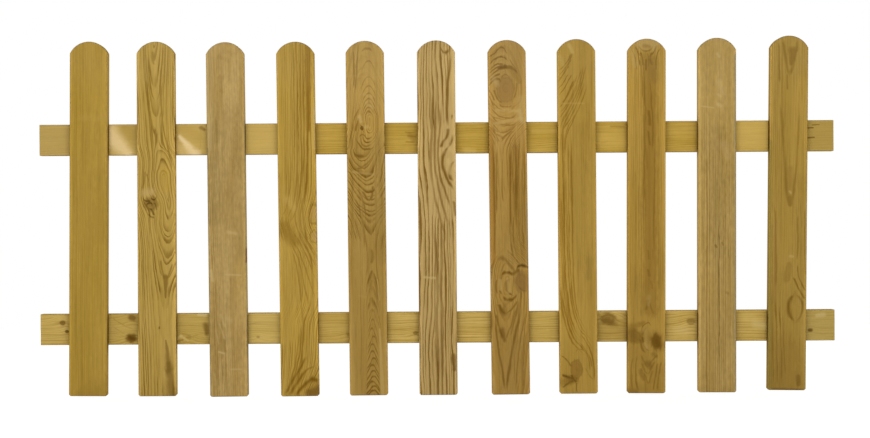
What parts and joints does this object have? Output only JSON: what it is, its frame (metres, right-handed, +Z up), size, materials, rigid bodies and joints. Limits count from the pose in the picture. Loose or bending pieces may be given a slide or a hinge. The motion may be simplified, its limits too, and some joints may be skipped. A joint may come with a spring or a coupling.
{
  "type": "picket fence panel",
  "caption": "Low wooden fence panel: upright round-headed pickets fixed with gaps across a top and a bottom rail, whose bare tails fasten to posts.",
  "frame": {"origin": "on the back face of the bottom rail, at the middle of its length and height", "axes": "+X along the rails, to the right as seen from the front; +Y from the pickets to the rails, so the pickets face -Y; +Z up"},
  "size_m": [1.8, 0.046, 0.8072],
  "materials": {
    "picket_timber": "planed pressure-treated softwood, unpainted, golden olive brown",
    "rail_timber": "planed pressure-treated softwood, unpainted, pale yellow"
  },
  "bodies": {
    "root": {"picket_01": "picket_timber", "picket_02": "picket_timber", "picket_03": "picket_timber", "picket_04": "picket_timber", "picket_05": "picket_timber", "picket_06": "picket_timber", "picket_07": "picket_timber", "picket_08": "picket_timber", "picket_09": "picket_timber", "picket_10": "picket_timber", "picket_11": "picket_timber", "top_rail": "rail_timber", "bottom_rail": "rail_timber"}
  },
  "joints": []
}
